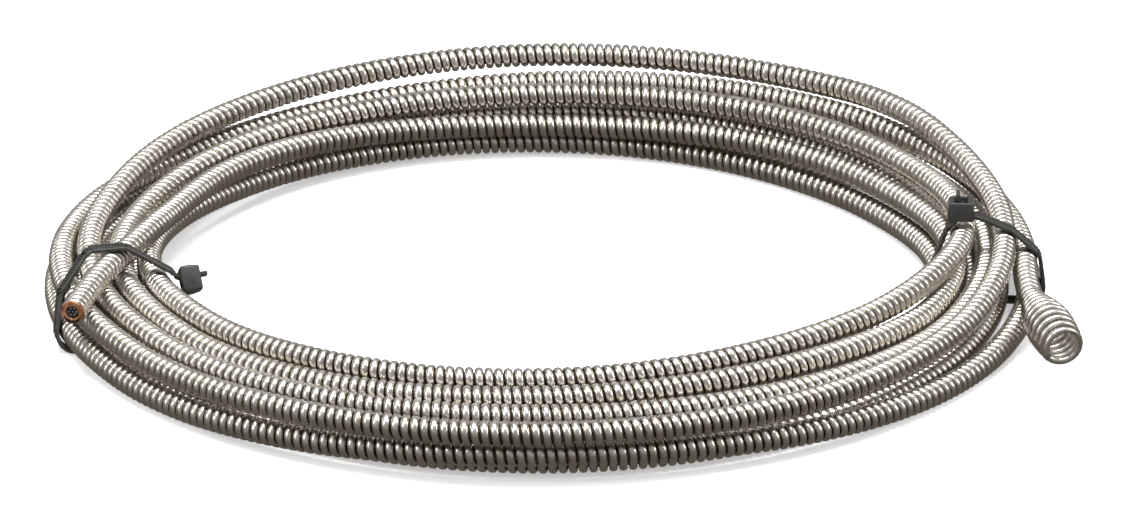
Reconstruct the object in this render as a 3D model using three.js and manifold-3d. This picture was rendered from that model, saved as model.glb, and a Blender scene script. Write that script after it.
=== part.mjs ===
// Drain auger: 7.5 m of 5/16 in wire-wound drain cable (nominally 25 ft) with an inner core and a bulb
// auger, coiled and held by two cable ties. Millimetres, +Z up. The origin is the middle of the bounding
// box, on the ground. The cable's and the ties' sizes are assumed standard ones, and some turns are hidden.
import * as THREE from 'three';
import { mergeVertices } from 'three/addons/utils/BufferGeometryUtils.js';
import Module from 'manifold-3d';

// ---------- Driving dimensions ----------
const CABLE_DIAMETER = 7.94;
const CABLE_RADIUS = CABLE_DIAMETER / 2;
const WIRE_DIAMETER = 1.95;
const CABLE_SIDES = 8;

// The coil, seen from above, runs clockwise from the drive end, which lies on top at the left.
const COIL_AXIS = [-3.4, 2.02, 0.012];
const STATION_STEP = 9;
const STATIONS_PER_LANE = 5;
const STATIONS_PER_TURN = 360 / STATION_STEP;
const TURN_SPACING = 8.32;
const GROUND_LANE = 4.0;
// The drive end's own stations before the first lane: distance from the coil's axis and height.
const DRIVE_END_LANES = [[161.0, 20.4], [134.5, 20.9], [113.0, 20.9]];
// One row for each turn: distance from the coil's axis and height, at every 45 degrees from the left.
const TURN_LANES = [
  [[113.5, 19.5], [121.5, 16.3], [122, 10.2], [124.5, 11.5],
   [129.3, 11.2], [130.5, 18.6], [131.8, 17.6], [129, 12.6]],
  [[134.5, 12.4], [130, 16.8], [127.4, 20.8], [130.5, 20],
   [133.4, 18.6], [120.5, 21.0], [123.4, 19.5], [122, 17]],
  [[125.5, 12.4], [123.5, 6.8], [128, 4], [121, 4],
   [125.2, 4], [125, 4], [126.5, 4], [127.8, 4]],
  [[127.7, 4], [131.3, 10.8], [134.5, 12.3], [130, 14],
   [133.6, 4], [133.3, 4], [135.5, 4], [136.1, 4]],
  [[136.1, 4], [136.3, 4], [136.4, 4], [138, 4],
   [141.9, 4], [142, 4], [148.4, 4], [144.5, 4]],
  [[144.5, 4], [144.7, 4], [144.8, 4], [149, 4],
   [152.6, 4], [151, 4], [154.6, 10.8], [153, 4]],
  [[153, 4], [153.1, 4], [153.2, 4], [148.5, 12.4],
   [137.6, 11.2], [137.6, 13.0], [140.0, 15.2], [138, 12.3]],
  [[143.6, 12.4], [149.5, 21], [153, 26.4], [150, 24],
   [142.7, 17.8], [146, 14.5], [160.2, 17.2], [149, 12.3]],
  [[152.3, 12.4], [148.2, 12.4], [144, 19], [147, 20.7], [148.5, 11.1]],
];
const AUGER_LANE = [151.4, 11.3];
// How the turns are laid beside each other: rounds of easing, then rounds that only keep them apart.
const LAY_ROUNDS = 400;
const LAST_ROUNDS = 60;
const LAY_SMOOTHING = 0.08;
const LAST_SMOOTHING = 0.03;
const LANE_HOLD = 0.03;
// Each tie lifts the turns that it passes under.
const TIE_LIFT = 1.5;
const LIFT_FULL = 9;
const LIFT_END = 30;

// The flexing ends. The cable bends most where it leaves the ties.
const DRIVE_FLEX_GAP = 1.0;
const AUGER_FLEX_GAP = 1.4;
const LIFT_FLEX_GAP = 1.2;
const BRAZE_LENGTH = 1.6;
const PIECE_GAP = 0.3;
const CORE_STRAND_DIAMETER = 1.0;
const CORE_RING_RADIUS = 1.26;
const CORE_STRANDS = 6;
const CORE_TWIST = 1.3;
const CORE_SETBACK = 0.5;

// Bulb auger: an open coil of the same wire, from the neck's end to its tip.
const BULB_START = [149.8, -38.0, 13.0];
const BULB_TIP = [157.6, -75.0, 10.6];
const BULB_TURNS = 11.5;
const BULB_NECK_RADIUS = CABLE_RADIUS - WIRE_DIAMETER / 2;
const BULB_WIDEST_RADIUS = 6.5;
const BULB_TIP_RADIUS = 5.3;
const BULB_WIDEST_AT = 0.66;
const BULB_STEPS_PER_TURN = 12;

// Cable ties of 4.8 mm nylon.
const BAND_WIDTH = 4.7;
const BAND_THICKNESS = 1.2;
const BAND_OFFSET = GROUND_LANE + TIE_LIFT - BAND_THICKNESS / 2;
const OUTLINE_STEP = 12;
const HEAD_LENGTH = 8.4;
const HEAD_WIDTH = 8.0;
const HEAD_DEPTH = 6.2;
const HEAD_BEVEL = 0.5;
const HEAD_RISE = 1.0;
const ROOT_RISE = 2.0;
const SLOT_WIDTH = 5.4;
const SLOT_LENGTH = 3.9;
const TAIL_PLACE = -1.05;
const TAIL_BEND = 1.6;
const BEND_RISE = 0.6;
const TAIL_STUB = 2.4;
const PAWL_WIDTH = 4.6;
const PAWL_START = 2.0;
// The pawl's outline, along the head from its middle and out from the pawl's own hinge.
const PAWL_OUTLINE = [[0.85, 0], [1.6, 0], [1.3, 2.0], [0.9, 4.0], [-0.1, 4.0], [-0.1, 3.4], [0.45, 2.0]];
// Where each tie sits round the coil, how far it leans for its height, roughly where its head lies and
// whether its band leaves the head outwards over the coil.
const TIES = [
  { name: 'tie_left', angle: 193.5, lean: 0.6, leanFrom: 25.6, headNear: [116.5, 17.0], over: false },
  { name: 'tie_right', angle: -3.5, lean: 0, leanFrom: 0, headNear: [131.0, 24.5], over: true },
];

// ---------- Materials ----------
const steel = new THREE.MeshStandardMaterial({ color: 0xb9b4ab, roughness: 0.28, metalness: 1.0 });
const copperTint = new THREE.MeshStandardMaterial({ color: 0xb5632f, roughness: 0.35, metalness: 1.0 });
const coreSteel = new THREE.MeshStandardMaterial({ color: 0x8d8a86, roughness: 0.4, metalness: 1.0 });
const nylon = new THREE.MeshStandardMaterial({ color: 0x2c2b29, roughness: 0.5, metalness: 0.0 });

// ---------- A path that keeps its section steady ----------
// At each point the section's y axis points along `across` there, or along the one `across` given.
class SteadyPath extends THREE.Curve {
  constructor(points, across) {
    super();
    this.points = points;
    this.across = Array.isArray(across) ? across : points.map(() => across);
  }

  getPoint(t) {
    const place = t * (this.points.length - 1);
    const index = Math.min(Math.floor(place), this.points.length - 2);
    return this.points[index].clone().lerp(this.points[index + 1], place - index);
  }

  getPointAt(u) {
    return this.getPoint(u);
  }

  computeFrenetFrames() {
    const frames = { tangents: [], normals: [], binormals: [] };
    this.points.forEach((point, i) => {
      const tangent = directionAt(this.points, i);
      const normal = this.across[i].clone().cross(tangent).normalize();
      frames.tangents.push(tangent);
      frames.normals.push(normal);
      frames.binormals.push(tangent.clone().cross(normal));
    });
    return frames;
  }
}

// The direction of a line of points at one of them, halfway between its two neighbouring stretches.
function directionAt(points, i) {
  const direction = points[i].clone().multiplyScalar(0);
  if (i > 0) {
    direction.add(points[i].clone().sub(points[i - 1]).normalize());
  }
  if (i < points.length - 1) {
    direction.add(points[i + 1].clone().sub(points[i]).normalize());
  }
  return direction.normalize();
}

const UP = new THREE.Vector3(0, 0, 1);

function sweep(section, points, across = UP) {
  const path = new SteadyPath(points, across);
  return new THREE.ExtrudeGeometry(section, { steps: points.length - 1, extrudePath: path });
}

// A regular section with a flat side down.
function roundSection(radius, sides) {
  const corners = [];
  for (let i = 0; i < sides; i += 1) {
    const angle = (2 * Math.PI * (i + 0.5)) / sides;
    corners.push(new THREE.Vector2(radius * Math.cos(angle), radius * Math.sin(angle)));
  }
  return new THREE.Shape(corners);
}

function boxSection(width, height) {
  const x = width / 2;
  const y = height / 2;
  const corners = [[-x, -y], [x, -y], [x, y], [-x, y]];
  return new THREE.Shape(corners.map(([a, b]) => new THREE.Vector2(a, b)));
}

// ---------- The cable's route ----------
function catmullRom(a, b, c, d, t) {
  const linear = (c - a) * t;
  const square = (2 * a - 5 * b + 4 * c - d) * t * t;
  const cube = (3 * b - a - 3 * c + d) * t * t * t;
  return 0.5 * (2 * b + linear + square + cube);
}

// Every station's wanted distance and height, from the drive end to the auger.
function wantedStations() {
  const lanes = TURN_LANES.flat();
  const wanted = DRIVE_END_LANES.map((lane) => [...lane]);
  for (let i = 0; i < lanes.length - 1; i += 1) {
    const before = lanes[Math.max(i - 1, 0)];
    const after = lanes[Math.min(i + 2, lanes.length - 1)];
    for (let j = 0; j < STATIONS_PER_LANE; j += 1) {
      const t = j / STATIONS_PER_LANE;
      wanted.push([0, 1].map((axis) => (
        catmullRom(before[axis], lanes[i][axis], lanes[i + 1][axis], after[axis], t)
      )));
    }
  }
  wanted.push([...lanes[lanes.length - 1]], [...AUGER_LANE]);
  return wanted;
}

function smooth(stations, share) {
  const old = stations.map((station) => [...station]);
  for (let i = 1; i < stations.length - 1; i += 1) {
    for (const axis of [0, 1]) {
      const middle = (old[i - 1][axis] + old[i + 1][axis]) / 2;
      stations[i][axis] += share * (middle - old[i][axis]);
    }
  }
}

// Moves every two turns that are too close, at the same angle round the coil, away from each other.
function pushApart(stations) {
  const push = stations.map(() => [0, 0]);
  for (let i = 0; i < stations.length; i += 1) {
    for (let j = i + STATIONS_PER_TURN; j < stations.length; j += STATIONS_PER_TURN) {
      const dx = stations[j][0] - stations[i][0];
      const dz = stations[j][1] - stations[i][1];
      const distance = Math.max(Math.hypot(dx, dz), 1e-6);
      const share = (0.45 * Math.max(TURN_SPACING - distance, 0)) / distance;
      push[j][0] += share * dx;
      push[j][1] += share * dz;
      push[i][0] -= share * dx;
      push[i][1] -= share * dz;
    }
  }
  stations.forEach((station, i) => {
    station[0] += push[i][0];
    station[1] = Math.max(station[1] + push[i][1], GROUND_LANE);
  });
}

function layTurns() {
  const wanted = wantedStations();
  const stations = wanted.map((station) => [...station]);
  for (let round = 0; round < LAY_ROUNDS; round += 1) {
    const last = round >= LAY_ROUNDS - LAST_ROUNDS;
    smooth(stations, last ? LAST_SMOOTHING : LAY_SMOOTHING);
    if (!last) {
      stations.forEach((station, i) => {
        station[0] += LANE_HOLD * (wanted[i][0] - station[0]);
        station[1] += LANE_HOLD * (wanted[i][1] - station[1]);
      });
    }
    for (let repeat = 0; repeat < 3; repeat += 1) {
      pushApart(stations);
    }
  }
  return stations;
}

const FIRST_ANGLE = 180 + STATION_STEP * DRIVE_END_LANES.length;

function angleBetween(a, b) {
  return Math.abs(((((a - b) % 360) + 540) % 360) - 180);
}

function tieLift(angle) {
  let lift = 0;
  for (const tie of TIES) {
    const away = (LIFT_END - angleBetween(angle, tie.angle)) / (LIFT_END - LIFT_FULL);
    const share = Math.min(Math.max(away, 0), 1);
    lift = Math.max(lift, TIE_LIFT * share * share * (3 - 2 * share));
  }
  return lift;
}

function coilPoint(angle, distance, height) {
  const radians = THREE.MathUtils.degToRad(angle);
  return new THREE.Vector3(distance * Math.cos(radians), distance * Math.sin(radians), height);
}

const stations = layTurns().map(([distance, height], i) => {
  const angle = FIRST_ANGLE - STATION_STEP * i;
  return { angle, distance, height: height + tieLift(angle) };
});
const route = stations.map(({ angle, distance, height }) => coilPoint(angle, distance, height));

// Part of a line of points, with its first and last ends drawn in by the given lengths.
function trimmed(points, fromStart, fromEnd) {
  const kept = points.map((point) => point.clone());
  const last = kept.length - 1;
  const pull = (end, next, length) => end.add(next.clone().sub(end).setLength(length));
  if (fromStart > 0) {
    pull(kept[0], kept[1], fromStart);
  }
  if (fromEnd > 0) {
    pull(kept[last], kept[last - 1], fromEnd);
  }
  return kept;
}

// ---------- Meshes ----------
const auger = new THREE.Group();
auger.position.set(...COIL_AXIS);

function addPiece(name, geometry, material) {
  const mesh = new THREE.Mesh(geometry, material);
  mesh.name = name;
  auger.add(mesh);
  return mesh;
}

// The drive end flexes at its second station, and the auger at the route's last one.
const DRIVE_FLEX_STATION = 1;

function addCoil() {
  const points = trimmed(route.slice(DRIVE_FLEX_STATION), DRIVE_FLEX_GAP / 2, AUGER_FLEX_GAP / 2);
  addPiece('cable_coil', sweep(roundSection(CABLE_RADIUS, CABLE_SIDES), points), steel);
}

// Points at even steps along one straight stretch.
function straight(from, to, steps) {
  const points = [];
  for (let i = 0; i <= steps; i += 1) {
    points.push(from.clone().lerp(to, i / steps));
  }
  return points;
}

// The free drive end: the wound wire as a tube, the brazed cut and the core's strands inside.
function addDriveEnd() {
  const flex = route[DRIVE_FLEX_STATION];
  const cut = route[0];
  const along = cut.clone().sub(flex).normalize();
  const start = flex.clone().addScaledVector(along, DRIVE_FLEX_GAP / 2);
  const wireEnd = cut.clone().addScaledVector(along, -BRAZE_LENGTH - PIECE_GAP);
  const brazeStart = cut.clone().addScaledVector(along, -BRAZE_LENGTH);
  const tube = roundSection(CABLE_RADIUS, 12);
  tube.holes.push(roundSection(CABLE_RADIUS - WIRE_DIAMETER, 12));
  addPiece('drive_end_wire', sweep(tube, straight(start, wireEnd, 1)), steel);
  addPiece('drive_end_braze', sweep(tube, straight(brazeStart, cut, 1)), copperTint);

  const strandSection = roundSection(CORE_STRAND_DIAMETER / 2, 6);
  const coreEnd = cut.clone().addScaledVector(along, -CORE_SETBACK);
  addPiece('core_strand_centre', sweep(strandSection, straight(start, coreEnd, 1)), coreSteel);
  const side = new THREE.Vector3().crossVectors(UP, along).normalize();
  const top = new THREE.Vector3().crossVectors(along, side);
  for (let strand = 0; strand < CORE_STRANDS; strand += 1) {
    const points = straight(start, coreEnd, 8).map((point, i) => {
      const angle = (2 * Math.PI * strand) / CORE_STRANDS + (CORE_TWIST * i) / 8;
      return point.addScaledVector(side, CORE_RING_RADIUS * Math.cos(angle))
        .addScaledVector(top, CORE_RING_RADIUS * Math.sin(angle));
    });
    addPiece(`core_strand_${strand + 1}`, sweep(strandSection, points), coreSteel);
  }
}

function addNeck() {
  const flex = route[route.length - 1];
  const end = new THREE.Vector3(...BULB_START);
  const points = trimmed(straight(flex, end, 2), AUGER_FLEX_GAP / 2, LIFT_FLEX_GAP / 2);
  addPiece('auger_neck', sweep(roundSection(CABLE_RADIUS, CABLE_SIDES), points), steel);
}

// The bulb's distance from its axis to the wire, from its neck (0) to its tip (1).
function bulbRadius(share) {
  const swell = Math.sin((Math.PI / 2) * Math.min(share / BULB_WIDEST_AT, 1)) ** 2;
  if (share < BULB_WIDEST_AT) {
    return BULB_NECK_RADIUS + (BULB_WIDEST_RADIUS - BULB_NECK_RADIUS) * swell;
  }
  const fall = ((share - BULB_WIDEST_AT) / (1 - BULB_WIDEST_AT)) ** 2;
  return BULB_WIDEST_RADIUS - (BULB_WIDEST_RADIUS - BULB_TIP_RADIUS) * fall;
}

function addBulb() {
  const start = new THREE.Vector3(...BULB_START);
  const tip = new THREE.Vector3(...BULB_TIP);
  const along = tip.clone().sub(start).normalize();
  const first = start.clone().addScaledVector(along, LIFT_FLEX_GAP / 2 + WIRE_DIAMETER / 2);
  const side = new THREE.Vector3().crossVectors(along, UP).normalize();
  const top = new THREE.Vector3().crossVectors(side, along);
  const steps = Math.round(BULB_TURNS * BULB_STEPS_PER_TURN);
  const points = [];
  for (let i = 0; i <= steps; i += 1) {
    const angle = (-2 * Math.PI * i) / BULB_STEPS_PER_TURN;
    const share = i / steps;
    const radius = bulbRadius(share);
    points.push(first.clone().lerp(tip, share ** 1.12)
      .addScaledVector(side, radius * Math.cos(angle))
      .addScaledVector(top, radius * Math.sin(angle)));
  }
  addPiece('bulb_auger', sweep(roundSection(WIRE_DIAMETER / 2, 6), points, along), steel);
}

// ---------- Cable ties ----------
// Every turn that a tie goes round: its middle where the tie's leaning plane meets it, and how much wider
// than the cable it is there for crossing the plane askew.
function turnsAt(tie, offset) {
  const turns = [];
  for (let turn = 0; turn <= TURN_LANES.length; turn += 1) {
    let found = null;
    let angle = tie.angle + offset;
    for (let pass = 0; pass < 4; pass += 1) {
      const place = (FIRST_ANGLE - angle) / STATION_STEP + turn * STATIONS_PER_TURN;
      const index = Math.floor(place);
      if (index < 0 || index >= stations.length - 1) {
        break;
      }
      const [a, b] = [stations[index], stations[index + 1]];
      const fromMiddle = THREE.MathUtils.degToRad(STATION_STEP) * (place - index - 0.5);
      const chord = Math.cos(THREE.MathUtils.degToRad(STATION_STEP / 2)) / Math.cos(fromMiddle);
      const distance = chord * THREE.MathUtils.lerp(a.distance, b.distance, place - index);
      const height = THREE.MathUtils.lerp(a.height, b.height, place - index);
      const stretch = THREE.MathUtils.degToRad(STATION_STEP) * distance;
      found = {
        x: distance * Math.cos(THREE.MathUtils.degToRad(angle - tie.angle)),
        y: height,
        widening: CABLE_RADIUS * (Math.hypot(1, (b.distance - a.distance) / stretch) - 1),
      };
      const shift = (tie.lean * (tie.leanFrom - height)) / distance;
      angle = tie.angle + offset + THREE.MathUtils.radToDeg(shift);
    }
    if (found) {
      turns.push(found);
    }
  }
  return turns;
}

function cross2(o, a, b) {
  return (a.x - o.x) * (b.y - o.y) - (a.y - o.y) * (b.x - o.x);
}

// The convex outline of a set of points, counter-clockwise.
function convexOutline(points) {
  const sorted = [...points].sort((a, b) => a.x - b.x || a.y - b.y);
  const chain = (list) => {
    const kept = [];
    for (const point of list) {
      while (kept.length > 1 && cross2(kept[kept.length - 2], kept[kept.length - 1], point) <= 1e-9) {
        kept.pop();
      }
      kept.push(point);
    }
    return kept.slice(0, -1);
  };
  return [...chain(sorted), ...chain([...sorted].reverse())];
}

// The outline that a band pulled tight round the turns would take, along the middle of its thickness.
function bandOutline(tie) {
  const samples = [];
  const reach = (BAND_WIDTH / 2 + tie.lean * BAND_OFFSET) / tie.headNear[0];
  for (const share of [-1, -0.5, 0, 0.5, 1]) {
    const offset = THREE.MathUtils.radToDeg(reach * share);
    for (const { x, y, widening } of turnsAt(tie, offset)) {
      for (let degrees = 0; degrees < 360; degrees += OUTLINE_STEP) {
        const angle = THREE.MathUtils.degToRad(degrees);
        samples.push(new THREE.Vector2(
          x + (BAND_OFFSET + widening) * Math.cos(angle),
          y + BAND_OFFSET * Math.sin(angle),
        ));
      }
    }
  }
  for (const sample of samples) {
    sample.y = Math.max(sample.y, BAND_THICKNESS / 2);
  }
  return convexOutline(samples).filter((point, i, all) => (
    point.distanceTo(all[(i + 1) % all.length]) > 0.2
  ));
}

// A point of a tie's outline in space: x away from the coil's axis, y along the turns and z up.
function leant(tie, point) {
  return new THREE.Vector3(point.x, tie.lean * (tie.leanFrom - point.y), point.y);
}

// The head's place on a tie's outline, as a matrix: x along the band, y across it and z out.
function headFrame(tie, outline, side) {
  const near = new THREE.Vector2(...tie.headNear);
  const middles = outline.map((point, i) => point.clone().lerp(outline[(i + 1) % outline.length], 0.5));
  const distances = middles.map((middle) => middle.distanceTo(near));
  const at = distances.indexOf(Math.min(...distances));
  const origin = middles[at];
  const along = outline[(at + 1) % outline.length].clone().sub(origin).normalize();
  const outward = new THREE.Vector3(along.y * side, 0, -along.x * side);
  const forward = new THREE.Vector3(along.x, -tie.lean * along.y, along.y).normalize();
  const sideways = new THREE.Vector3().crossVectors(outward, forward).normalize();
  forward.crossVectors(sideways, outward);
  const frame = new THREE.Matrix4().makeBasis(forward, sideways, outward);
  return { at, frame: frame.setPosition(leant(tie, origin)) };
}

// The band from inside its head, round the turns and out of the head's slot.
function layBand(tie) {
  const outline = bandOutline(tie);
  if (tie.over) {
    outline.reverse();
  }
  const side = tie.over ? -1 : 1;
  const { at, frame } = headFrame(tie, outline, side);
  const inverse = frame.clone().invert();
  const place = (a, b) => new THREE.Vector3(a, 0, b).applyMatrix4(frame);
  const round = [...outline.slice(at + 1), ...outline.slice(0, at + 1)];
  const root = [place(HEAD_LENGTH / 2 - 1.3, ROOT_RISE), place(HEAD_LENGTH / 2 + 0.8, ROOT_RISE)];
  const rootEnd = new THREE.Vector2(root[1].x, root[1].z);
  while (side * cross2(rootEnd, round[0], round[1]) < 0) {
    round.shift();
  }
  const along = (point) => leant(tie, point).applyMatrix4(inverse).x;
  while (along(round[round.length - 1]) > TAIL_PLACE - TAIL_BEND) {
    round.pop();
  }
  const path = [root[1], ...round.map((point) => leant(tie, point))];
  const flatPath = [rootEnd, ...round];
  const across = path.map((point, i) => {
    const flat = directionAt(flatPath, i);
    return directionAt(path, i).cross(new THREE.Vector3(flat.y * side, 0, -flat.x * side)).normalize();
  });

  const corner = place(TAIL_PLACE, BEND_RISE);
  const bendEnd = place(TAIL_PLACE, BEND_RISE + TAIL_BEND);
  const bend = [0.25, 0.5, 0.75, 1].map((t) => (
    path[path.length - 1].clone().lerp(corner, t).lerp(corner.clone().lerp(bendEnd, t), t)
  ));
  const tail = [...bend, place(TAIL_PLACE, HEAD_RISE + HEAD_DEPTH + TAIL_STUB)];
  const headAcross = new THREE.Vector3().setFromMatrixColumn(frame, 1).negate();
  return {
    frame,
    points: [root[0], ...path, ...tail],
    across: [headAcross, headAcross, ...across.slice(1), ...tail.map(() => headAcross)],
  };
}

// A manifold solid of a geometry, placed by a matrix.
function solidOf(wasm, geometry, matrix = new THREE.Matrix4()) {
  const bare = geometry.clone().applyMatrix4(matrix);
  bare.deleteAttribute('normal');
  bare.deleteAttribute('uv');
  const merged = mergeVertices(bare, 1e-5);
  return new wasm.Manifold(new wasm.Mesh({
    numProp: 3,
    vertProperties: new Float32Array(merged.attributes.position.array),
    triVerts: new Uint32Array(merged.index.array),
  }));
}

function geometryOf(solid) {
  const mesh = solid.getMesh();
  const geometry = new THREE.BufferGeometry();
  geometry.setAttribute('position', new THREE.BufferAttribute(new Float32Array(mesh.vertProperties), 3));
  geometry.setIndex(new THREE.BufferAttribute(new Uint32Array(mesh.triVerts), 1));
  return geometry.toNonIndexed();
}

function headGeometry() {
  const outline = boxSection(HEAD_LENGTH - 2 * HEAD_BEVEL, HEAD_WIDTH - 2 * HEAD_BEVEL);
  outline.holes.push(boxSection(SLOT_LENGTH + 2 * HEAD_BEVEL, SLOT_WIDTH + 2 * HEAD_BEVEL));
  const head = new THREE.ExtrudeGeometry(outline, {
    depth: HEAD_DEPTH - 2 * HEAD_BEVEL,
    bevelSize: HEAD_BEVEL,
    bevelThickness: HEAD_BEVEL,
    bevelSegments: 1,
  });
  return head.translate(0, 0, HEAD_RISE + HEAD_BEVEL);
}

// The pawl as an outline pulled across the head, ready in the head's own directions.
function pawlGeometry() {
  const outline = new THREE.Shape(PAWL_OUTLINE.map(([a, b]) => new THREE.Vector2(a, b)));
  const pawl = new THREE.ExtrudeGeometry(outline, { depth: PAWL_WIDTH, bevelEnabled: false });
  return pawl.rotateX(Math.PI / 2).translate(0, PAWL_WIDTH / 2, PAWL_START);
}

function addTie(wasm, tie) {
  const { frame, points, across } = layBand(tie);
  const band = sweep(boxSection(BAND_THICKNESS, BAND_WIDTH), points, across);
  const whole = solidOf(wasm, band).add(solidOf(wasm, headGeometry(), frame));
  const mesh = new THREE.Mesh(geometryOf(whole), nylon);
  mesh.name = tie.name;
  const pawl = new THREE.Mesh(pawlGeometry(), nylon);
  pawl.name = `${tie.name}_pawl`;
  pawl.applyMatrix4(frame);
  const group = new THREE.Group();
  group.rotation.z = THREE.MathUtils.degToRad(tie.angle);
  group.add(mesh, pawl);
  auger.add(group);
}

const wasm = await Module();
wasm.setup();
addCoil();
addDriveEnd();
addNeck();
addBulb();
TIES.forEach((tie) => addTie(wasm, tie));

export default auger;
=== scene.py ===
import math

import bpy
import numpy as np
from mathutils import Matrix, Vector


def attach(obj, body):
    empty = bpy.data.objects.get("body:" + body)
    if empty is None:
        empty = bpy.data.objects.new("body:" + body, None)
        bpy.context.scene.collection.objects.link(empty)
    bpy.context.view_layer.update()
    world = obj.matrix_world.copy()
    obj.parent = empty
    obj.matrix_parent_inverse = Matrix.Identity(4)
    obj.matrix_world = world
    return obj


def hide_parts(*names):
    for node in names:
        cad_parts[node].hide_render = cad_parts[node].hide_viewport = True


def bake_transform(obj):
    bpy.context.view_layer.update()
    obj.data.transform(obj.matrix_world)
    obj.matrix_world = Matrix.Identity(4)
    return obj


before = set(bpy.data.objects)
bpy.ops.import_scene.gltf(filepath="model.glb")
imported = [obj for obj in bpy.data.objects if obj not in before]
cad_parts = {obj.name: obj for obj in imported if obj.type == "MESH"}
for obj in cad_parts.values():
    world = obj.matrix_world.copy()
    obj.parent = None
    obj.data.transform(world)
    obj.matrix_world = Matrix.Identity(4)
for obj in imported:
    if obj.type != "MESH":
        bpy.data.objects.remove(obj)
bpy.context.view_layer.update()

MM = 0.001

# ---------- The cable's sizes and route, in millimetres as in the part's source ----------
CABLE_RADIUS = 3.97
COIL_AXIS = (-3.4, 2.02, 0.012)
STATION_STEP = 9
STATIONS_PER_LANE = 5
STATIONS_PER_TURN = 40
TURN_SPACING = 8.32
GROUND_LANE = 4.0
DRIVE_END_LANES = [[161.0, 20.4], [134.5, 20.9], [113.0, 20.9]]
TURN_LANES = [
    [[113.5, 19.5], [121.5, 16.3], [122, 10.2], [124.5, 11.5],
     [129.3, 11.2], [130.5, 18.6], [131.8, 17.6], [129, 12.6]],
    [[134.5, 12.4], [130, 16.8], [127.4, 20.8], [130.5, 20],
     [133.4, 18.6], [120.5, 21.0], [123.4, 19.5], [122, 17]],
    [[125.5, 12.4], [123.5, 6.8], [128, 4], [121, 4],
     [125.2, 4], [125, 4], [126.5, 4], [127.8, 4]],
    [[127.7, 4], [131.3, 10.8], [134.5, 12.3], [130, 14],
     [133.6, 4], [133.3, 4], [135.5, 4], [136.1, 4]],
    [[136.1, 4], [136.3, 4], [136.4, 4], [138, 4],
     [141.9, 4], [142, 4], [148.4, 4], [144.5, 4]],
    [[144.5, 4], [144.7, 4], [144.8, 4], [149, 4],
     [152.6, 4], [151, 4], [154.6, 10.8], [153, 4]],
    [[153, 4], [153.1, 4], [153.2, 4], [148.5, 12.4],
     [137.6, 11.2], [137.6, 13.0], [140.0, 15.2], [138, 12.3]],
    [[143.6, 12.4], [149.5, 21], [153, 26.4], [150, 24],
     [142.7, 17.8], [146, 14.5], [160.2, 17.2], [149, 12.3]],
    [[152.3, 12.4], [148.2, 12.4], [144, 19], [147, 20.7], [148.5, 11.1]],
]
AUGER_LANE = [151.4, 11.3]
LAY_ROUNDS = 400
LAST_ROUNDS = 60
LAY_SMOOTHING = 0.08
LAST_SMOOTHING = 0.03
LANE_HOLD = 0.03
TIE_LIFT = 1.5
LIFT_FULL = 9
LIFT_END = 30
FIRST_ANGLE = 180 + STATION_STEP * len(DRIVE_END_LANES)
BULB_START = (149.8, -38.0, 13.0)
BULB_TIP = (157.6, -75.0, 10.6)
BULB_TURNS = 11.5
BULB_WIDEST_RADIUS = 6.5
BULB_TIP_RADIUS = 5.3
BULB_WIDEST_AT = 0.66
BULB_WIRE_RADIUS = 1.05
BRAZE_LENGTH = 1.6
CORE_STRAND_RADIUS = 0.5
CORE_RING_RADIUS = 1.26
CORE_TWIST = 1.3
CORE_SETBACK = 0.5

# Cable ties of 4.8 mm nylon, laid round the turns by the same steps as in the part's source.
BAND_WIDTH = 4.7
BAND_THICKNESS = 1.2
BAND_OFFSET = GROUND_LANE + TIE_LIFT - BAND_THICKNESS / 2
OUTLINE_STEP = 12
HEAD_LENGTH = 8.4
HEAD_WIDTH = 8.0
HEAD_DEPTH = 6.2
HEAD_TAPER = 0.9
HEAD_RISE = 1.0
ROOT_RISE = 2.0
SLOT_WIDTH = 5.4
SLOT_LENGTH = 3.9
TAIL_PLACE = -1.05
TAIL_BEND = 1.6
BEND_RISE = 0.6
TAIL_STUB = 2.4
TOOTH_PITCH = 1.0
TOOTH_STEP = 0.25
TOOTH_DEPTH = 0.22
TIES = [
    {"name": "tie_left", "angle": 193.5, "lean": 0.6, "lean_from": 25.6,
     "head": (116.5, 17.0), "over": False},
    {"name": "tie_right", "angle": -3.5, "lean": 0.0, "lean_from": 0.0,
     "head": (131.0, 24.5), "over": True},
]

# The winding: one wire, wound close with a narrow dark gap between its turns.
PITCH = 2.95
WIRE_HALF_WIDTH = 1.32
WIRE_HALF_DEPTH = 1.1
STEPS_PER_WINDING = 14
WIRE_SECTION = np.radians(np.linspace(-105, 105, 7))
FILLING_RADIUS = 2.45
FILLING_STEP = 5
LINE_STEPS = 6
CORD_POINTS = 1400

# Where the cable's pieces take over from each other, along the cable.
FLEX_OVERLAP = 9
NECK_FLEX_BEFORE = 7
NECK_FLEX_AFTER = 6
NECK_CUT_BACK = 7
BULB_FLEX_BEFORE = 6
BULB_STEPS_PER_TURN = 28
BULB_SPACING_POWER = 1.12
CORE_LENGTH = 28
CORE_STRANDS = 6
CORE_POINTS = 30


# ---------- Camera ----------
CAMERA_ELEVATION = math.radians(21)
CAMERA_DISTANCE = 2.08
CAMERA_LENS = 211.84
AIM_HEIGHT = 12
AIM_RIGHT = 0.0055
AIM_DOWN = 0.0016


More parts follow.
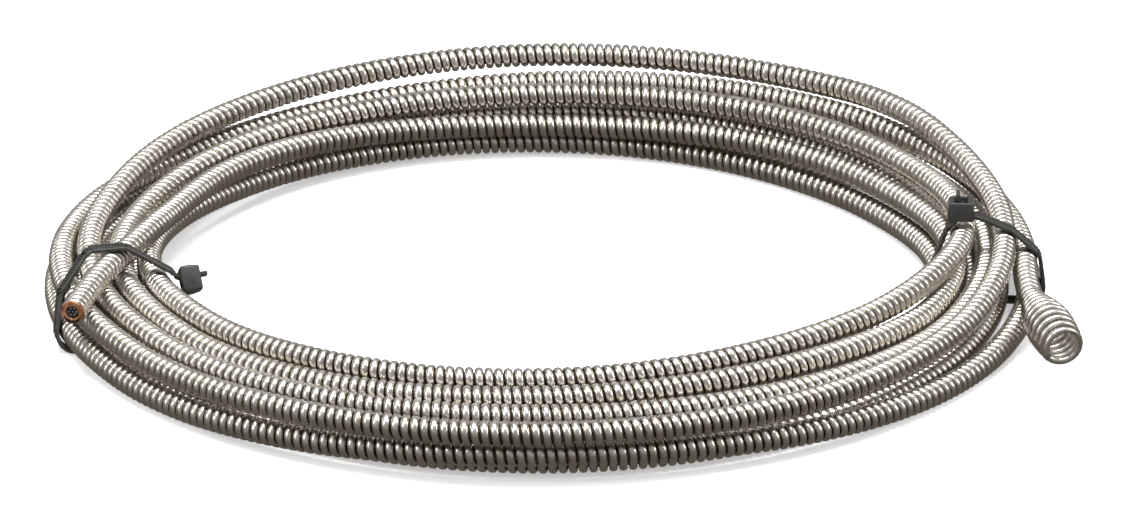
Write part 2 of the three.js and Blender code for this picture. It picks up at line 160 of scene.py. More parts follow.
def make_camera():
    """Looks level with the coil's long side from 21 degrees above the floor, from two metres away."""
    camera = bpy.data.objects.new("camera", bpy.data.cameras.new("camera"))
    bpy.context.scene.collection.objects.link(camera)
    bpy.context.scene.camera = camera
    away = Vector((0, -math.cos(CAMERA_ELEVATION), math.sin(CAMERA_ELEVATION)))
    above = Vector((0, math.sin(CAMERA_ELEVATION), math.cos(CAMERA_ELEVATION)))
    middle = Vector((COIL_AXIS[0], COIL_AXIS[1], AIM_HEIGHT)) * MM
    camera.location = middle + away * CAMERA_DISTANCE
    target = middle + Vector((AIM_RIGHT, 0, 0)) - above * AIM_DOWN
    camera.rotation_euler = (target - camera.location).to_track_quat("-Z", "Y").to_euler()
    camera.data.lens = CAMERA_LENS
    camera.data.sensor_width = 36
    camera.data.clip_end = 20


# ---------- The cable's route ----------
def catmull_rom(a, b, c, d, t):
    """The point at share t between b and c of a smooth curve through a, b, c and d."""
    linear = (c - a) * t
    square = (2 * a - 5 * b + 4 * c - d) * t * t
    cube = (3 * b - a - 3 * c + d) * t * t * t
    return 0.5 * (2 * b + linear + square + cube)


def wanted_stations():
    """Every station's wanted distance and height, from the drive end to the auger."""
    lanes = np.array([lane for turn in TURN_LANES for lane in turn], dtype=float)
    wanted = [np.array(lane) for lane in DRIVE_END_LANES]
    for i in range(len(lanes) - 1):
        before = lanes[max(i - 1, 0)]
        after = lanes[min(i + 2, len(lanes) - 1)]
        for j in range(STATIONS_PER_LANE):
            wanted.append(catmull_rom(before, lanes[i], lanes[i + 1], after, j / STATIONS_PER_LANE))
    return np.array(wanted + [lanes[-1], np.array(AUGER_LANE)])


def push_apart(stations):
    """Moves turns that are too close, at the same angle round the coil, away from each other."""
    push = np.zeros_like(stations)
    for apart in range(STATIONS_PER_TURN, len(stations), STATIONS_PER_TURN):
        gap = stations[apart:] - stations[:-apart]
        distance = np.maximum(np.linalg.norm(gap, axis=1), 1e-6)
        share = 0.45 * np.maximum(TURN_SPACING - distance, 0) / distance
        push[apart:] += share[:, None] * gap
        push[:-apart] -= share[:, None] * gap
    stations += push
    stations[:, 1] = np.maximum(stations[:, 1], GROUND_LANE)


def lay_turns():
    wanted = wanted_stations()
    stations = wanted.copy()
    for i in range(LAY_ROUNDS):
        last = i >= LAY_ROUNDS - LAST_ROUNDS
        share = LAST_SMOOTHING if last else LAY_SMOOTHING
        old = stations.copy()
        stations[1:-1] += share * ((old[:-2] + old[2:]) / 2 - old[1:-1])
        if not last:
            stations += LANE_HOLD * (wanted - stations)
        for _ in range(3):
            push_apart(stations)
    return stations


def tie_lift(angle):
    lift = 0.0
    for tie in TIES:
        between = abs((angle - tie["angle"] + 180) % 360 - 180)
        share = min(max((LIFT_END - between) / (LIFT_END - LIFT_FULL), 0), 1)
        lift = max(lift, TIE_LIFT * share * share * (3 - 2 * share))
    return lift


def route_points():
    """The middle line of the cable in metres, at each station and at the bulb's start."""
    points = []
    for i, (distance, height) in enumerate(STATIONS):
        angle = FIRST_ANGLE - STATION_STEP * i
        turn = math.radians(angle)
        points.append((distance * math.cos(turn), distance * math.sin(turn), height + tie_lift(angle)))
    points.append(BULB_START)
    return (np.array(points) + COIL_AXIS) * MM


def smooth_line(points, steps):
    """A smooth curve through points, with `steps` pieces between each two."""
    ends = np.vstack([2 * points[0] - points[1], points, 2 * points[-1] - points[-2]])
    line = []
    for i in range(len(points) - 1):
        for j in range(steps):
            line.append(catmull_rom(ends[i], ends[i + 1], ends[i + 2], ends[i + 3], j / steps))
    return np.array(line + [points[-1]])


class Line:
    """A line of points that can be read at any distance along it."""

    def __init__(self, points):
        self.points = points
        self.places = np.concatenate([[0], np.cumsum(np.linalg.norm(np.diff(points, axis=0), axis=1))])
        self.length = self.places[-1]
        steps = np.gradient(points, self.places, axis=0)
        self.along = steps / np.linalg.norm(steps, axis=1)[:, None]

    def read(self, values, places):
        return np.stack([np.interp(places, self.places, values[:, axis]) for axis in range(3)], axis=1)

    def at(self, places):
        """Points, directions along, and directions across and above, at the given distances."""
        point = self.read(self.points, places)
        along = self.read(self.along, places)
        along /= np.linalg.norm(along, axis=1)[:, None]
        across = np.cross(along, (0, 0, 1))
        across /= np.linalg.norm(across, axis=1)[:, None]
        return point, along, across, np.cross(across, along)


# ---------- Meshes ----------
def grid_mesh(name, vertices, closed_across=False, caps=False):
    """A mesh of rows of vertices; vertices is (rows, columns, 3)."""
    rows, columns = vertices.shape[:2]
    across = columns if closed_across else columns - 1
    i, j = np.meshgrid(np.arange(rows - 1), np.arange(across), indexing="ij")
    here = i * columns + j
    right = i * columns + (j + 1) % columns
    quads = np.stack([here, right, right + columns, here + columns], axis=-1).reshape(-1, 4)
    mesh = bpy.data.meshes.new(name)
    mesh.vertices.add(rows * columns)
    mesh.vertices.foreach_set("co", vertices.reshape(-1).astype(np.float32))
    loops = quads.reshape(-1)
    starts = np.arange(len(quads)) * 4
    if caps:
        first = np.arange(columns)[::-1]
        last = (rows - 1) * columns + np.arange(columns)
        loops = np.concatenate([loops, first, last])
        starts = np.concatenate([starts, [len(quads) * 4, len(quads) * 4 + columns]])
    mesh.loops.add(len(loops))
    mesh.loops.foreach_set("vertex_index", loops.astype(np.int32))
    mesh.polygons.add(len(starts))
    mesh.polygons.foreach_set("loop_start", starts.astype(np.int32))
    mesh.polygons.foreach_set("use_smooth", np.ones(len(starts), dtype=bool))
    mesh.update(calc_edges=True)
    mesh.validate()
    return mesh


def add_object(name, mesh, materials):
    piece = bpy.data.objects.new(name, mesh)
    bpy.context.scene.collection.objects.link(piece)
    for material in materials:
        mesh.materials.append(material)
    return piece


def join_meshes(name, parts):
    """One mesh from (mesh, material slot number) parts."""
    joined = bpy.data.meshes.new(name)
    vertices, loops, starts, slots, smooth, groove_shade = [], [], [], [], [], []
    base, loop_base = 0, 0
    for mesh, slot in parts:
        co = np.empty(len(mesh.vertices) * 3, dtype=np.float32)
        mesh.vertices.foreach_get("co", co)
        index = np.empty(len(mesh.loops), dtype=np.int32)
        mesh.loops.foreach_get("vertex_index", index)
        start = np.empty(len(mesh.polygons), dtype=np.int32)
        mesh.polygons.foreach_get("loop_start", start)
        flags = np.empty(len(mesh.polygons), dtype=bool)
        mesh.polygons.foreach_get("use_smooth", flags)
        vertices.append(co)
        loops.append(index + base)
        starts.append(start + loop_base)
        slots.append(np.full(len(start), slot, dtype=np.int32))
        smooth.append(flags)
        values = np.zeros(len(mesh.vertices), dtype=np.float32)
        if "groove_shade" in mesh.attributes:
            mesh.attributes["groove_shade"].data.foreach_get("value", values)
        groove_shade.append(values)
        base += len(mesh.vertices)
        loop_base += len(index)
    joined.vertices.add(base)
    joined.vertices.foreach_set("co", np.concatenate(vertices))
    joined.loops.add(loop_base)
    joined.loops.foreach_set("vertex_index", np.concatenate(loops))
    count = sum(len(s) for s in starts)
    joined.polygons.add(count)
    joined.polygons.foreach_set("loop_start", np.concatenate(starts))
    joined.polygons.foreach_set("material_index", np.concatenate(slots))
    joined.polygons.foreach_set("use_smooth", np.concatenate(smooth))
    joined.update(calc_edges=True)
    layer = joined.attributes.new("groove_shade", "FLOAT", "POINT")
    layer.data.foreach_set("value", np.concatenate(groove_shade))
    for mesh, _ in parts:
        bpy.data.meshes.remove(mesh)
    return joined


def set_groove_shade(mesh, values):
    """How much painted shade each vertex gets: 0 on the wire's crest, 1 where two windings meet."""
    layer = mesh.attributes.new("groove_shade", "FLOAT", "POINT")
    layer.data.foreach_set("value", values.reshape(-1).astype(np.float32))


def wound_wire(name, line, start, end, radius=CABLE_RADIUS * MM):
    """The wound wire between two distances along the cable; its turns line up from piece to piece."""
    step = PITCH * MM / STEPS_PER_WINDING
    places = np.arange(round(start / step), round(end / step) + 1) * step
    point, along, across, above = line.at(places)
    angle = -2 * math.pi * places / (PITCH * MM)
    out = across * np.cos(angle)[:, None] + above * np.sin(angle)[:, None]
    middle = point + out * (radius - WIRE_HALF_DEPTH * MM)
    section = WIRE_SECTION
    vertices = (
        middle[:, None]
        + out[:, None] * (WIRE_HALF_DEPTH * MM * np.cos(section))[None, :, None]
        + along[:, None] * (WIRE_HALF_WIDTH * MM * np.sin(section))[None, :, None]
    )
    mesh = grid_mesh(name, vertices)
    # painted shade mask: 0 on the wire's crest, 1 on its flanks where windings meet
    groove_shade = np.abs(section) / np.abs(section).max()
    set_groove_shade(mesh, np.broadcast_to(groove_shade, vertices.shape[:2]))
    return mesh


def round_tube(name, line, places, radius, sides, caps=True):
    point, _, across, above = line.at(places)
    angle = 2 * math.pi * np.arange(sides) / sides
    vertices = (
        point[:, None]
        + across[:, None] * (radius * np.cos(angle))[None, :, None]
        + above[:, None] * (radius * np.sin(angle))[None, :, None]
    )
    return grid_mesh(name, vertices[:, ::-1], closed_across=True, caps=caps)


# ---------- Materials ----------
def new_material(name):
    material = bpy.data.materials.new(name)
    material.use_nodes = True
    nodes = material.node_tree.nodes
    return material, nodes, material.node_tree.links, nodes["Principled BSDF"]


def add_noise(nodes, links, scale, detail, coordinates):
    noise = nodes.new("ShaderNodeTexNoise")
    noise.inputs["Scale"].default_value = scale
    noise.inputs["Detail"].default_value = detail
    links.new(coordinates, noise.inputs["Vector"])
    return noise.outputs["Fac"]


def add_ramp(nodes, links, value, stops):
    ramp = nodes.new("ShaderNodeValToRGB")
    elements = ramp.color_ramp.elements
    while len(elements) < len(stops):
        elements.new(0.5)
    for element, (place, colour) in zip(elements, stops):
        element.position = place
        element.color = (*colour, 1)
    links.new(value, ramp.inputs["Fac"])
    return ramp.outputs["Color"]


def steel_material():
    """Bright plated wire, with painted shade darkening it where two turns meet."""
    material, nodes, links, shader = new_material("plated_steel_wire")
    place = nodes.new("ShaderNodeTexCoord").outputs["Object"]
    groove_shade = nodes.new("ShaderNodeAttribute")
    groove_shade.attribute_name = "groove_shade"
    # painted shade: the base colour falls from bright steel on the crest to near black where two windings
    # meet
    base = add_ramp(nodes, links, groove_shade.outputs["Fac"], [
        (0.0, (0.66, 0.63, 0.59)),
        (0.5, (0.60, 0.565, 0.52)),
        (0.74, (0.26, 0.22, 0.18)),
        (0.95, (0.045, 0.032, 0.022)),
    ])
    patches = add_noise(nodes, links, 90, 4, place)
    tint = add_ramp(nodes, links, patches, [(0.3, (0.84, 0.81, 0.77)), (0.7, (1.0, 1.0, 1.0))])
    mix = nodes.new("ShaderNodeMix")
    mix.data_type = "RGBA"
    mix.blend_type = "MULTIPLY"
    mix.inputs[0].default_value = 1.0
    links.new(base, mix.inputs[6])
    links.new(tint, mix.inputs[7])
    links.new(mix.outputs[2], shader.inputs["Base Color"])
    shader.inputs["Metallic"].default_value = 1.0
    fine = add_noise(nodes, links, 900, 3, place)
    rough = nodes.new("ShaderNodeMapRange")
    rough.inputs["To Min"].default_value = 0.2
    rough.inputs["To Max"].default_value = 0.4
    links.new(fine, rough.inputs["Value"])
    links.new(rough.outputs["Result"], shader.inputs["Roughness"])
    add_bump(nodes, links, shader, add_noise(nodes, links, 2600, 2, place), 0.12, 0.0001)
    return material


def add_bump(nodes, links, shader, height, strength, distance):
    bump = nodes.new("ShaderNodeBump")
    bump.inputs["Strength"].default_value = strength
    bump.inputs["Distance"].default_value = distance
    links.new(height, bump.inputs["Height"])
    links.new(bump.outputs["Normal"], shader.inputs["Normal"])


def gap_material():
    material, nodes, links, shader = new_material("painted_gap_shade")
    place = nodes.new("ShaderNodeTexCoord").outputs["Object"]
    # painted shade: a near-black lining inside the windings, seen between turns and in the bore, where the
    # cable's inside lies in shadow; the noise only varies that shade a little
    shade_noise = add_noise(nodes, links, 600, 3, place)
    colour = add_ramp(nodes, links, shade_noise, [(0.35, (0.02, 0.014, 0.009)), (0.7, (0.07, 0.045, 0.028))])
    links.new(colour, shader.inputs["Base Color"])
    shader.inputs["Roughness"].default_value = 0.7
    return material


def braze_material():
    """The cut face: coppery braze with darker and paler patches."""
    material, nodes, links, shader = new_material("copper_braze")
    place = nodes.new("ShaderNodeTexCoord").outputs["Object"]
    patches = add_noise(nodes, links, 420, 4, place)
    colour = add_ramp(nodes, links, patches, [
        (0.3, (0.16, 0.06, 0.03)),
        (0.5, (0.42, 0.19, 0.09)),
        (0.75, (0.62, 0.40, 0.26)),
    ])
    links.new(colour, shader.inputs["Base Color"])
    shader.inputs["Metallic"].default_value = 0.75
    shader.inputs["Roughness"].default_value = 0.42
    add_bump(nodes, links, shader, add_noise(nodes, links, 1800, 3, place), 0.3, 0.0002)
    return material


def core_material():
    material, nodes, links, shader = new_material("core_strand")
    place = nodes.new("ShaderNodeTexCoord").outputs["Object"]
    patches = add_noise(nodes, links, 700, 3, place)
    colour = add_ramp(nodes, links, patches, [(0.35, (0.10, 0.09, 0.085)), (0.7, (0.34, 0.36, 0.42))])
    links.new(colour, shader.inputs["Base Color"])
    shader.inputs["Metallic"].default_value = 0.9
    shader.inputs["Roughness"].default_value = 0.4
    return material


def nylon_material():
    """Dark grey nylon, a little uneven, with a soft shine."""
    material, nodes, links, shader = new_material("dark_nylon")
    place = nodes.new("ShaderNodeTexCoord").outputs["Object"]
    patches = add_noise(nodes, links, 260, 4, place)
    colour = add_ramp(nodes, links, patches, [(0.3, (0.016, 0.0155, 0.014)), (0.75, (0.034, 0.033, 0.030))])
    links.new(colour, shader.inputs["Base Color"])
    shader.inputs["Roughness"].default_value = 0.48
    add_bump(nodes, links, shader, add_noise(nodes, links, 1500, 3, place), 0.15, 0.0002)
    return material


STEEL = steel_material()
GAP = gap_material()
BRAZE = braze_material()
CORE = core_material()
NYLON = nylon_material()

make_camera()
STATIONS = lay_turns()
ROUTE = route_points()
CABLE = Line(smooth_line(ROUTE, LINE_STEPS))
STATION_PLACES = CABLE.places[::LINE_STEPS]
DRIVE_FLEX = STATION_PLACES[1]
NECK_FLEX = STATION_PLACES[len(ROUTE) - 2]
BULB_PLACE = CABLE.length
WINDING_START = 0.2 * MM
NECK_END = BULB_PLACE - NECK_CUT_BACK * MM


def cable_piece(name, start, end, bore_depth=0.0):
    """The wound wire with its dark filling, which is an open lining where the cable's bore can be seen; the
    filling's near-black colour is painted shade for the cable's shadowed inside.
    """
    wire = wound_wire(name + "_wire", CABLE, start, end)
    places = np.append(np.arange(start + bore_depth, end, FILLING_STEP * MM), end)
    closed = bore_depth == 0
    filling = round_tube(name + "_filling", CABLE, places, FILLING_RADIUS * MM, 8, caps=closed)
    return add_object(name, join_meshes(name, [(wire, 0), (filling, 1)]), [STEEL, GAP])


def make_cable():
    overlap = FLEX_OVERLAP * MM
    coil = cable_piece("coiled_cable", DRIVE_FLEX + overlap, NECK_FLEX - overlap)
    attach(coil, "coil")
    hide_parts("cable_coil")
    drive = cable_piece("drive_end_windings", WINDING_START, DRIVE_FLEX + overlap, BRAZE_LENGTH * MM)
    flex = CABLE.at(np.array([DRIVE_FLEX + overlap, DRIVE_FLEX - overlap]))[0]
    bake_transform(drive)
    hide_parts("drive_end_wire")
    neck = cable_piece("neck_windings", NECK_FLEX - overlap, NECK_END)
    flex = CABLE.at(np.array([NECK_FLEX - NECK_FLEX_BEFORE * MM, NECK_FLEX + NECK_FLEX_AFTER * MM]))[0]
    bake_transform(neck)
    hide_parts("auger_neck")
    return coil, drive, neck


def bulb_radius(share):
    """From the bulb's axis to the middle of its wire, from its neck (0) to its tip (1)."""
    neck_radius = CABLE_RADIUS - WIRE_HALF_DEPTH
    swell = np.sin(math.pi / 2 * np.clip(share / BULB_WIDEST_AT, 0, 1)) ** 2
    fall = np.clip((share - BULB_WIDEST_AT) / (1 - BULB_WIDEST_AT), 0, 1) ** 2
    grown = neck_radius + (BULB_WIDEST_RADIUS - neck_radius) * swell
    return grown - (BULB_WIDEST_RADIUS - BULB_TIP_RADIUS) * fall


def ring_sections(middles, radius, sides):
    """Rings of points round a line of middles, for a wire."""
    wire = Line(middles)
    _, _, across, above = wire.at(wire.places)
    angle = 2 * math.pi * np.arange(sides)[::-1] / sides
    return (
        middles[:, None]
        + across[:, None] * (radius * np.cos(angle))[None, :, None]
        + above[:, None] * (radius * np.sin(angle))[None, :, None]
    )


def make_bulb():
    """The windings carry on past the neck, open up and swell into the bulb."""
    steps = BULB_STEPS_PER_TURN
    before = np.arange(NECK_END, BULB_PLACE, PITCH * MM / steps)
    point, _, across, above = CABLE.at(before)
    angle_before = -2 * math.pi * before / (PITCH * MM)
    start = ROUTE[-1]
    tip = (np.array(BULB_TIP) + COIL_AXIS) * MM
    share = np.linspace(0, 1, round(BULB_TURNS * steps))
    axis = start + (tip - start) * (share ** BULB_SPACING_POWER)[:, None]
    along = (tip - start) / np.linalg.norm(tip - start)
    side = np.cross(along, (0, 0, 1))
    side /= np.linalg.norm(side)
    top = np.cross(side, along)
    angle = angle_before[-1] - 2 * math.pi * (np.arange(len(share)) + 1) / steps
    neck_radius = (CABLE_RADIUS - WIRE_HALF_DEPTH) * MM
    coil_part = point + neck_radius * (
        across * np.cos(angle_before)[:, None] + above * np.sin(angle_before)[:, None]
    )
    bulb_part = axis + (bulb_radius(share) * MM)[:, None] * (
        side * np.cos(angle)[:, None] + top * np.sin(angle)[:, None]
    )
    middles = np.concatenate([coil_part, bulb_part])
    out = np.concatenate([coil_part - point, bulb_part - axis])
    out /= np.linalg.norm(out, axis=1)[:, None]
    run = np.gradient(middles, axis=0)
    run /= np.linalg.norm(run, axis=1)[:, None]
    flat = np.cross(out, run)
    section = 2 * math.pi * np.arange(12) / 12
    closeness = np.concatenate([np.zeros(len(before)), share])
    half_width = MM * (WIRE_HALF_WIDTH + (BULB_WIRE_RADIUS - WIRE_HALF_WIDTH) * np.clip(closeness * 4, 0, 1))
    vertices = (
        middles[:, None]
        + out[:, None] * (BULB_WIRE_RADIUS * MM * np.cos(section))[None, :, None]
        + flat[:, None] * half_width[:, None, None] * np.sin(section)[None, :, None]
    )
    mesh = grid_mesh("bulb_wire", vertices, closed_across=True, caps=True)
    # painted shade on the wire's inward side, full at the neck where windings sit close and fading out as
    # the bulb opens
    inward = (1 - np.cos(section)) / 2
    set_groove_shade(mesh, np.outer(1 - np.clip(closeness * 3, 0, 1), np.clip(2.2 * inward - 0.5, 0, 1)))
    filling = round_tube("bulb_filling", CABLE, np.linspace(NECK_END, BULB_PLACE, 4), FILLING_RADIUS * MM, 8)
    bulb = add_object("bulb_auger_wire", join_meshes("bulb", [(mesh, 0), (filling, 1)]), [STEEL, GAP])
    flex = CABLE.at(np.array([BULB_PLACE - BULB_FLEX_BEFORE * MM]))[0][0]
    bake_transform(bulb)
    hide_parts("bulb_auger")
    return bulb


def make_cut_end():
    """The brazed cut face of the cable with the core's strands in its bore."""
    places = np.array([0.0, 0.12, 0.35, BRAZE_LENGTH, BRAZE_LENGTH + 1.4]) * MM
    point, _, across, above = CABLE.at(places)
    outer = np.array([3.45, 3.66, 3.72, 3.3, 3.1])
    inner = np.array([2.25, 2.05, 1.98, 1.95, 1.95])
    rows = [(i, outer[i]) for i in (4, 3, 2, 1, 0)] + [(i, inner[i]) for i in (0, 1, 3, 4)]
    angle = np.linspace(0, 2 * math.pi, 40, endpoint=False)
    vertices = np.array([
        point[i] + MM * radius * (np.outer(np.cos(angle), across[i]) + np.outer(np.sin(angle), above[i]))
        for i, radius in rows
    ])
    face = grid_mesh("braze", vertices, closed_across=True)
    ring = add_object("brazed_cut_end", face, [BRAZE])
    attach(ring, "drive_end")
    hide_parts("drive_end_braze")
    for strand in range(CORE_STRANDS + 1):
        places = np.linspace(CORE_SETBACK, CORE_LENGTH, CORE_POINTS) * MM
        point, _, across, above = CABLE.at(places)
        turn = 2 * math.pi * strand / CORE_STRANDS + CORE_TWIST * np.linspace(0, 1, len(places))
        ring_radius = (CORE_RING_RADIUS if strand < CORE_STRANDS else 0) * MM
        middles = point + ring_radius * (
            across * np.cos(turn)[:, None] + above * np.sin(turn)[:, None]
        )
        rings = ring_sections(middles, CORE_STRAND_RADIUS * MM, 8)
        mesh = grid_mesh(f"strand_{strand}", rings, closed_across=True, caps=True)
        name = "core_strand_centre" if strand == CORE_STRANDS else f"core_strand_{strand + 1}"
        piece = add_object(name + "_wire", mesh, [CORE])
        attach(piece, "drive_end")
        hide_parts(name)


# ---------- Cable ties ----------
def turns_at(tie, offset):
    """Each turn's middle where the tie's leaning plane meets it, and how much wider it is there."""
    stations = [(distance, height + tie_lift(FIRST_ANGLE - STATION_STEP * i))
                for i, (distance, height) in enumerate(STATIONS)]
    step = math.radians(STATION_STEP)
    turns = []
    for turn in range(len(TURN_LANES) + 1):
        found = None
        angle = tie["angle"] + offset
        for _ in range(4):
            place = (FIRST_ANGLE - angle) / STATION_STEP + turn * STATIONS_PER_TURN
            index = math.floor(place)
            if index < 0 or index >= len(stations) - 1:
                break
            a, b = stations[index], stations[index + 1]
            chord = math.cos(step / 2) / math.cos(step * (place - index - 0.5))
            distance = chord * (a[0] + (b[0] - a[0]) * (place - index))
            height = a[1] + (b[1] - a[1]) * (place - index)
            slope = (b[0] - a[0]) / (step * distance)
            x = distance * math.cos(math.radians(angle - tie["angle"]))
            found = (x, height, CABLE_RADIUS * (math.hypot(1, slope) - 1))
            shift = tie["lean"] * (tie["lean_from"] - height) / distance
            angle = tie["angle"] + offset + math.degrees(shift)
        if found:
            turns.append(found)
    return turns


def cross2(o, a, b):
    return (a[0] - o[0]) * (b[1] - o[1]) - (a[1] - o[1]) * (b[0] - o[0])


def convex_outline(points):
    """The convex outline of a set of points, counter-clockwise."""
    def chain(ordered):
        kept = []
        for point in ordered:
            while len(kept) > 1 and cross2(kept[-2], kept[-1], point) <= 1e-9:
                kept.pop()
            kept.append(point)
        return kept[:-1]
    ordered = sorted(points)
    return chain(ordered) + chain(ordered[::-1])


def band_outline(tie):
    samples = []
    reach = (BAND_WIDTH / 2 + tie["lean"] * BAND_OFFSET) / tie["head"][0]
    for share in (-1, -0.5, 0, 0.5, 1):
        for x, y, widening in turns_at(tie, math.degrees(reach * share)):
            for degrees in range(0, 360, OUTLINE_STEP):
                angle = math.radians(degrees)
                out = x + (BAND_OFFSET + widening) * math.cos(angle)
                up = max(y + BAND_OFFSET * math.sin(angle), BAND_THICKNESS / 2)
                samples.append((out, up))
    outline = convex_outline(samples)
    following = outline[1:] + outline[:1]
    return [Vector(point) for point, after in zip(outline, following) if math.dist(point, after) > 0.2]


def leant(tie, point):
    return Vector((point[0], tie["lean"] * (tie["lean_from"] - point[1]), point[1]))


def head_frame(tie, outline, side):
    """Where the head sits on the outline: x along the band, y across it and z out."""
    near = Vector(tie["head"])
    middles = [(a + b) / 2 for a, b in zip(outline, outline[1:] + outline[:1])]
    at = min(range(len(middles)), key=lambda i: (middles[i] - near).length)
    along = (outline[(at + 1) % len(outline)] - middles[at]).normalized()
    outward = Vector((along.y * side, 0, -along.x * side))
    forward = Vector((along.x, -tie["lean"] * along.y, along.y)).normalized()
    sideways = outward.cross(forward).normalized()
    forward = sideways.cross(outward)
    seat = Matrix((forward, sideways, outward)).transposed().to_4x4()
    seat.translation = leant(tie, middles[at])
    return at, seat


def direction_at(points, i):
    """The direction at one of a line's points, halfway between its two stretches there."""
    total = points[i] * 0
    if i > 0:
        total += (points[i] - points[i - 1]).normalized()
    if i < len(points) - 1:
        total += (points[i + 1] - points[i]).normalized()
    return total.normalized()


def lay_band(tie):
    """The band's middle line, and the directions across it, from inside its head out of the slot."""
    outline = band_outline(tie)
    if tie["over"]:
        outline.reverse()
    side = -1 if tie["over"] else 1
    at, seat = head_frame(tie, outline, side)
    inverse = seat.inverted()

    def place(a, b):
        return seat @ Vector((a, 0, b))

    turned = outline[at + 1:] + outline[:at + 1]
    root = [place(HEAD_LENGTH / 2 - 1.3, ROOT_RISE), place(HEAD_LENGTH / 2 + 0.8, ROOT_RISE)]
    root_end = Vector((root[1].x, root[1].z))
    while side * cross2(root_end, turned[0], turned[1]) < 0:
        turned.pop(0)
    while (inverse @ leant(tie, turned[-1])).x > TAIL_PLACE - TAIL_BEND:
        turned.pop()
    path = [root[1]] + [leant(tie, point) for point in turned]
    flat_path = [root_end] + turned
    across = []
    for i in range(len(path)):
        flat = direction_at(flat_path, i)
        across.append(direction_at(path, i).cross(Vector((flat.y * side, 0, -flat.x * side))).normalized())
    corner = place(TAIL_PLACE, BEND_RISE)
    bend_end = place(TAIL_PLACE, BEND_RISE + TAIL_BEND)
    bend = [path[-1].lerp(corner, t).lerp(corner.lerp(bend_end, t), t) for t in (0.25, 0.5, 0.75, 1)]
    tail = bend + [place(TAIL_PLACE, HEAD_RISE + HEAD_DEPTH + TAIL_STUB)]
    head_across = -seat.col[1].to_3d()
    directions = [head_across] * 2 + across[1:] + [head_across] * len(tail)
    return seat, np.array([root[0]] + path + tail), np.array(directions)


def band_mesh(points, across):
    """The strap: two edge ribs with a row of cross teeth between them on its outer side."""
    rough = Line(smooth_line(points, 4))
    corners = rough.places[::4]
    places = np.arange(0, rough.length, TOOTH_STEP)
    point = rough.read(rough.points, places)
    along = rough.read(rough.along, places)
    along /= np.linalg.norm(along, axis=1)[:, None]
    sideways = np.stack([np.interp(places, corners, across[:, axis]) for axis in range(3)], axis=1)
    sideways -= along * np.sum(sideways * along, axis=1)[:, None]
    sideways /= np.linalg.norm(sideways, axis=1)[:, None]
    outward = np.cross(sideways, along)
    half = BAND_WIDTH / 2
    top = BAND_THICKNESS / 2
    rib = half - 0.75
    tooth = top - TOOTH_DEPTH * ((places % TOOTH_PITCH) < TOOTH_PITCH / 2)
    flat = np.full(len(places), 1.0)
    section = [
        (-half, -top + 0.15, None), (-half + 0.15, -top, None), (half - 0.15, -top, None),
        (half, -top + 0.15, None), (half, top - 0.2, None), (half - 0.2, top, None),
        (rib + 0.1, top, None), (rib, 0, tooth), (-rib, 0, tooth),
        (-rib - 0.1, top, None), (-half + 0.2, top, None), (-half, top - 0.2, None),
    ]
    columns = []
    for x, y, heights in section:
        rise = flat * y if heights is None else heights
        columns.append(point + sideways * x + outward * rise[:, None])
    vertices = np.stack(columns, axis=1)
    vertices[:, :, 2] = np.maximum(vertices[:, :, 2], 0)
    mesh = grid_mesh("band", vertices * MM, closed_across=True, caps=True)
    mesh.polygons.foreach_set("use_smooth", np.zeros(len(mesh.polygons), dtype=bool))
    return mesh


def head_rings():
    """Rounded rectangles from the head's foot up round its rim and down through its slot."""
    def ring(length, width, corner, height):
        points = []
        for sx, sy, first in ((1, 1, 0), (-1, 1, 90), (-1, -1, 180), (1, -1, 270)):
            for degrees in (0, 30, 60, 90):
                angle = math.radians(first + degrees)
                points.append((
                    sx * (length / 2 - corner) + corner * math.cos(angle),
                    sy * (width / 2 - corner) + corner * math.sin(angle),
                    height,
                ))
        return points
    low = HEAD_RISE
    high = HEAD_RISE + HEAD_DEPTH
    rim = HEAD_TAPER
    return np.array([
        ring(SLOT_LENGTH, SLOT_WIDTH, 0.15, low + 0.02),
        ring(HEAD_LENGTH - 1.4, HEAD_WIDTH - 1.4, 0.6, low),
        ring(HEAD_LENGTH - 0.3, HEAD_WIDTH - 0.3, 0.8, low + 0.35),
        ring(HEAD_LENGTH, HEAD_WIDTH, 0.8, low + 0.8),
        ring(HEAD_LENGTH, HEAD_WIDTH, 0.8, low + HEAD_DEPTH * 0.55),
        ring(HEAD_LENGTH - rim, HEAD_WIDTH - rim, 0.7, high - 0.35),
        ring(HEAD_LENGTH - rim - 0.3, HEAD_WIDTH - rim - 0.3, 0.6, high - 0.08),
        ring(HEAD_LENGTH - rim - 0.8, HEAD_WIDTH - rim - 0.8, 0.5, high),
        ring(SLOT_LENGTH + 0.5, SLOT_WIDTH + 0.5, 0.3, high),
        ring(SLOT_LENGTH, SLOT_WIDTH, 0.15, high - 0.3),
        ring(SLOT_LENGTH, SLOT_WIDTH, 0.15, low + 0.02),
    ])


def make_tie(tie):
    seat, points, across = lay_band(tie)
    turn = Matrix.Rotation(math.radians(tie["angle"]), 4, "Z")
    place = Matrix.Translation(Vector(COIL_AXIS) * MM) @ turn
    strap = band_mesh(points, across)
    head = grid_mesh("head", head_rings() * MM, closed_across=True)
    in_metres = seat.copy()
    in_metres.translation = seat.translation * MM
    head.transform(in_metres)
    mesh = join_meshes(tie["name"] + "_shape", [(strap, 0), (head, 0)])
    mesh.transform(place)
    piece = add_object(tie["name"] + "_strap_and_head", mesh, [NYLON])
    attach(piece, "coil")
    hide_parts(tie["name"])


def dress_pawls():
    """The pawls are seen through the slots as the part's own solids."""
    for name in ("tie_left_pawl", "tie_right_pawl"):
        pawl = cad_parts[name]
        pawl.data.materials.clear()
        pawl.data.materials.append(NYLON)


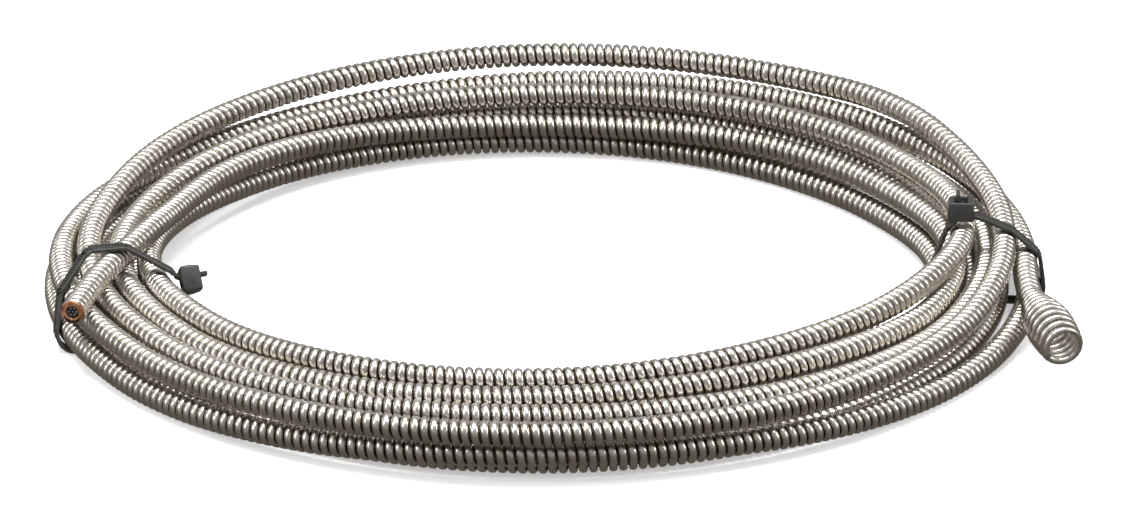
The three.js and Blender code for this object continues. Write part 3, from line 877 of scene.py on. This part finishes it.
coil, drive, neck = make_cable()
bulb = make_bulb()
make_cut_end()
for tie in TIES:
    make_tie(tie)
dress_pawls()
cord_places = np.linspace(DRIVE_FLEX + FLEX_OVERLAP * MM, NECK_FLEX - FLEX_OVERLAP * MM, CORD_POINTS)
path = [tuple(point) for point in CABLE.at(cord_places)[0]]


# ---------- Floor, light and background ----------
FLOOR_GLOW = 0.42
WORLD_STRENGTH = 0.6
TOP_POWER = 28


def make_stage():
    """A pale floor that mirrors nothing into the steel and stays nearly white under the coil."""
    bpy.ops.mesh.primitive_plane_add(size=6, location=(0, 0, 0))
    floor = bpy.context.object
    floor.name = "floor"
    material, _, _, shader = new_material("pale_floor")
    shader.inputs["Base Color"].default_value = (0.93, 0.93, 0.93, 1)
    shader.inputs["Roughness"].default_value = 0.9
    shader.inputs["Emission Color"].default_value = (1, 1, 1, 1)
    shader.inputs["Emission Strength"].default_value = FLOOR_GLOW
    floor.data.materials.append(material)
    floor.visible_glossy = False


def add_light(name, location, size, power, target=(0, 0, 0)):
    light = bpy.data.lights.new(name, "AREA")
    light.shape = "RECTANGLE"
    light.size, light.size_y = size
    light.energy = power
    lamp = bpy.data.objects.new(name, light)
    lamp.location = location
    lamp.rotation_euler = (Vector(target) - Vector(location)).to_track_quat("-Z", "Y").to_euler()
    bpy.context.scene.collection.objects.link(lamp)


def make_light():
    world = bpy.data.worlds.new("studio")
    bpy.context.scene.world = world
    world.use_nodes = True
    nodes = world.node_tree.nodes
    links = world.node_tree.links
    direction = nodes.new("ShaderNodeSeparateXYZ")
    links.new(nodes.new("ShaderNodeTexCoord").outputs["Generated"], direction.inputs["Vector"])
    height = nodes.new("ShaderNodeMapRange")
    height.inputs["From Min"].default_value = -1.0
    links.new(direction.outputs["Z"], height.inputs["Value"])
    colour = add_ramp(nodes, links, height.outputs["Result"], [
        (0.0, (0.24, 0.215, 0.19)),
        (0.46, (0.34, 0.31, 0.28)),
        (0.56, (0.62, 0.62, 0.62)),
        (1.0, (0.85, 0.87, 0.90)),
    ])
    links.new(colour, nodes["Background"].inputs["Color"])
    nodes["Background"].inputs["Strength"].default_value = WORLD_STRENGTH
    add_light("top_box", (0.0, -0.1, 1.3), (1.0, 0.6), TOP_POWER)
    add_light("left_box", (-1.2, -0.6, 0.9), (0.5, 0.5), 7)
    add_light("right_box", (1.3, -0.3, 0.7), (0.4, 0.6), 7)
    bpy.context.scene.view_settings.view_transform = "Standard"


make_stage()
make_light()
